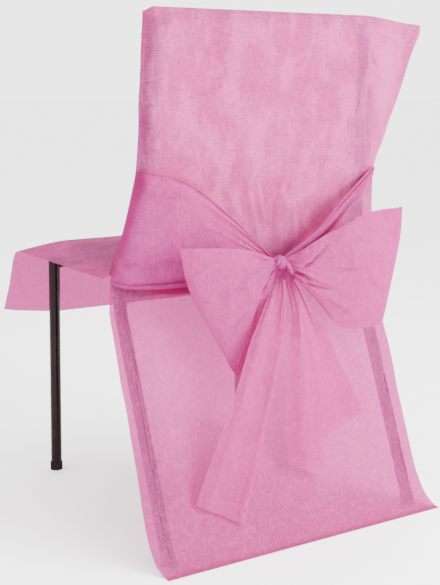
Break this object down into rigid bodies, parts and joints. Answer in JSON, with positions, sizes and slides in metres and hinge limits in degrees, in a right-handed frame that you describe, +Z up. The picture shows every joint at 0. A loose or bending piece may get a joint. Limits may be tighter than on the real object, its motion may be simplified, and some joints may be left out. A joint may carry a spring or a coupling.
{
  "type": "chair cover with sash on a plain chair",
  "caption": "Loose cloth cover with a wide sash tied in a bow behind, worn by a plain tube-framed chair; it falls over the seat's front edge and to the floor at the back.",
  "frame": {"origin": "floor level, at the middle of the whole object's box", "axes": "+Z up; +Y the way the sitter faces, so the bow and the hanging back panel are on the -Y side; +X to the right as seen from behind"},
  "size_m": [0.6582, 0.6387, 0.9005],
  "materials": {
    "cloth": "matte, slightly see-through non-woven cloth",
    "frame": "glossy dark brown",
    "pad": "matt",
    "board": "satin",
    "foot": "matt"
  },
  "bodies": {
    "root": {"cover_back": "cloth", "cover_front": "cloth", "sash_band_left": "cloth", "sash_band_right": "cloth", "sash_knot": "cloth", "bow_loop_left": "cloth", "bow_loop_right": "cloth", "bow_tail_left": "cloth", "bow_tail_right": "cloth", "frame_rear_left": "frame", "frame_rear_right": "frame", "frame_front_left": "frame", "frame_front_right": "frame", "frame_cross_front": "frame", "frame_cross_rear": "frame", "seat_pad": "pad", "back_board": "board", "foot_front_left": "foot", "foot_front_right": "foot", "foot_rear_left": "foot", "foot_rear_right": "foot"}
  },
  "joints": []
}
